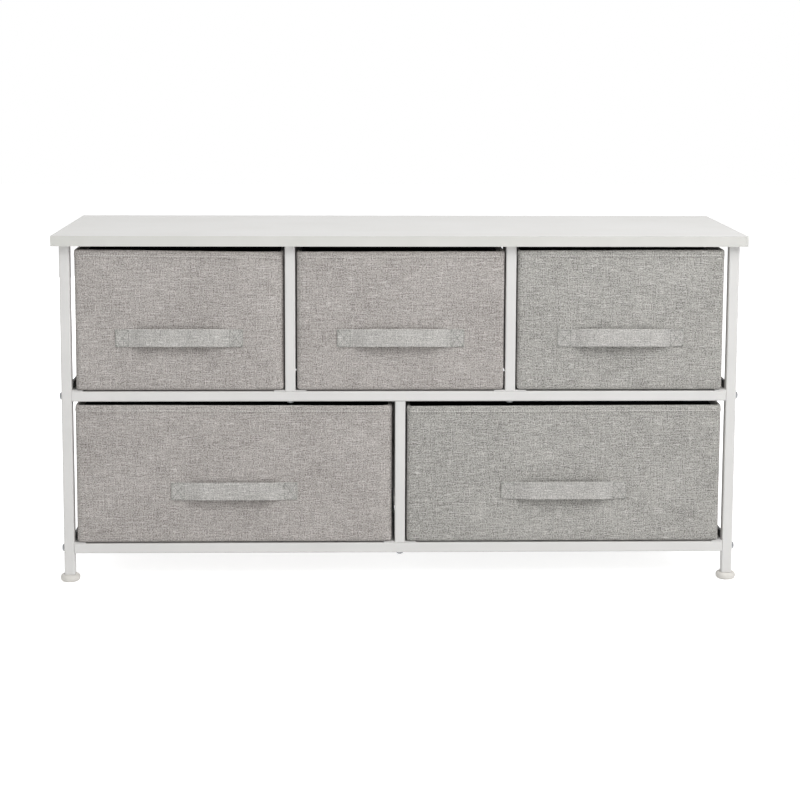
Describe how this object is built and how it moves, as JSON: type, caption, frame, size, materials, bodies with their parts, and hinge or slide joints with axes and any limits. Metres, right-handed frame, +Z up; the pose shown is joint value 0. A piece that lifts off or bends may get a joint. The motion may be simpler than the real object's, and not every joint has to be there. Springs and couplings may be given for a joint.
{
  "type": "fabric drawer dresser",
  "caption": "Low wide dresser: white tube frame and white board top, with pull-out grey fabric drawers that have strap handles, standing on round levelling feet.",
  "frame": {"origin": "floor, at the middle of the footprint", "axes": "+X to the right of someone facing the drawers, +Y to the back, +Z up; the drawers slide out towards -Y"},
  "size_m": [1, 0.3, 0.51],
  "materials": {
    "white_board": "white melamine faced particle board",
    "white_edge_band": "white plastic edge band",
    "white_steel": "white powder coat, satin",
    "zinc_steel": "bright zinc plate",
    "black_plastic": "matt moulded plastic",
    "white_plastic": "warm white moulded plastic",
    "grey_linen": "heathered grey linen-look cloth",
    "grey_webbing": "folded and stitched strap of the same cloth",
    "black_lining": "black spunbonded nonwoven",
    "grey_board": "raw pressed board"
  },
  "bodies": {
    "frame": {"top_board": "white_board", "top_edge_bands": "white_edge_band", "front_left_leg": "white_steel", "rear_left_leg": "white_steel", "front_right_leg": "white_steel", "rear_right_leg": "white_steel", "front_mid_bar": "white_steel", "front_bottom_bar": "white_steel", "rear_mid_bar": "white_steel", "rear_bottom_bar": "white_steel", "front_upper_left_post": "white_steel", "front_upper_right_post": "white_steel", "rear_upper_left_post": "white_steel", "rear_upper_right_post": "white_steel", "front_lower_post": "white_steel", "rear_lower_post": "white_steel", "upper_left_runners": "white_steel", "upper_middle_runners": "white_steel", "upper_right_runners": "white_steel", "lower_left_runners": "white_steel", "lower_right_runners": "white_steel", "runner_trims": "black_plastic", "frame_bolts": "zinc_steel", "threaded_inserts": "black_plastic", "post_head_plugs": "black_plastic", "top_brackets": "white_steel", "bracket_screws": "zinc_steel"},
    "upper_left_drawer": {"upper_left_drawer_cover": "grey_linen", "upper_left_drawer_wall_boards": "grey_board", "upper_left_drawer_lining": "black_lining", "upper_left_drawer_base": "black_lining", "upper_left_handle_strap": "grey_webbing"},
    "upper_middle_drawer": {"upper_middle_drawer_cover": "grey_linen", "upper_middle_drawer_wall_boards": "grey_board", "upper_middle_drawer_lining": "black_lining", "upper_middle_drawer_base": "black_lining", "upper_middle_handle_strap": "grey_webbing"},
    "upper_right_drawer": {"upper_right_drawer_cover": "grey_linen", "upper_right_drawer_wall_boards": "grey_board", "upper_right_drawer_lining": "black_lining", "upper_right_drawer_base": "black_lining", "upper_right_handle_strap": "grey_webbing"},
    "lower_left_drawer": {"lower_left_drawer_cover": "grey_linen", "lower_left_drawer_wall_boards": "grey_board", "lower_left_drawer_lining": "black_lining", "lower_left_drawer_base": "black_lining", "lower_left_handle_strap": "grey_webbing"},
    "lower_right_drawer": {"lower_right_drawer_cover": "grey_linen", "lower_right_drawer_wall_boards": "grey_board", "lower_right_drawer_lining": "black_lining", "lower_right_drawer_base": "black_lining", "lower_right_handle_strap": "grey_webbing"},
    "front_left_foot": {"front_left_foot_pad": "white_plastic", "front_left_foot_stud": "zinc_steel"},
    "rear_left_foot": {"rear_left_foot_pad": "white_plastic", "rear_left_foot_stud": "zinc_steel"},
    "front_right_foot": {"front_right_foot_pad": "white_plastic", "front_right_foot_stud": "zinc_steel"},
    "rear_right_foot": {"rear_right_foot_pad": "white_plastic", "rear_right_foot_stud": "zinc_steel"}
  },
  "joints": [
    {"name": "upper_left_drawer_slide", "type": "slide", "parent": "frame", "child": "upper_left_drawer", "axis": [0, -1, 0], "range_m": [0, 0.2]},
    {"name": "upper_middle_drawer_slide", "type": "slide", "parent": "frame", "child": "upper_middle_drawer", "axis": [0, -1, 0], "range_m": [0, 0.2]},
    {"name": "upper_right_drawer_slide", "type": "slide", "parent": "frame", "child": "upper_right_drawer", "axis": [0, -1, 0], "range_m": [0, 0.2]},
    {"name": "lower_left_drawer_slide", "type": "slide", "parent": "frame", "child": "lower_left_drawer", "axis": [0, -1, 0], "range_m": [0, 0.2]},
    {"name": "lower_right_drawer_slide", "type": "slide", "parent": "frame", "child": "lower_right_drawer", "axis": [0, -1, 0], "range_m": [0, 0.2]},
    {"name": "front_left_foot_screw", "type": "slide", "parent": "frame", "child": "front_left_foot", "axis": [0, 0, -1], "range_m": [0, 0.008]},
    {"name": "rear_left_foot_screw", "type": "slide", "parent": "frame", "child": "rear_left_foot", "axis": [0, 0, -1], "range_m": [0, 0.008]},
    {"name": "front_right_foot_screw", "type": "slide", "parent": "frame", "child": "front_right_foot", "axis": [0, 0, -1], "range_m": [0, 0.008]},
    {"name": "rear_right_foot_screw", "type": "slide", "parent": "frame", "child": "rear_right_foot", "axis": [0, 0, -1], "range_m": [0, 0.008]}
  ]
}
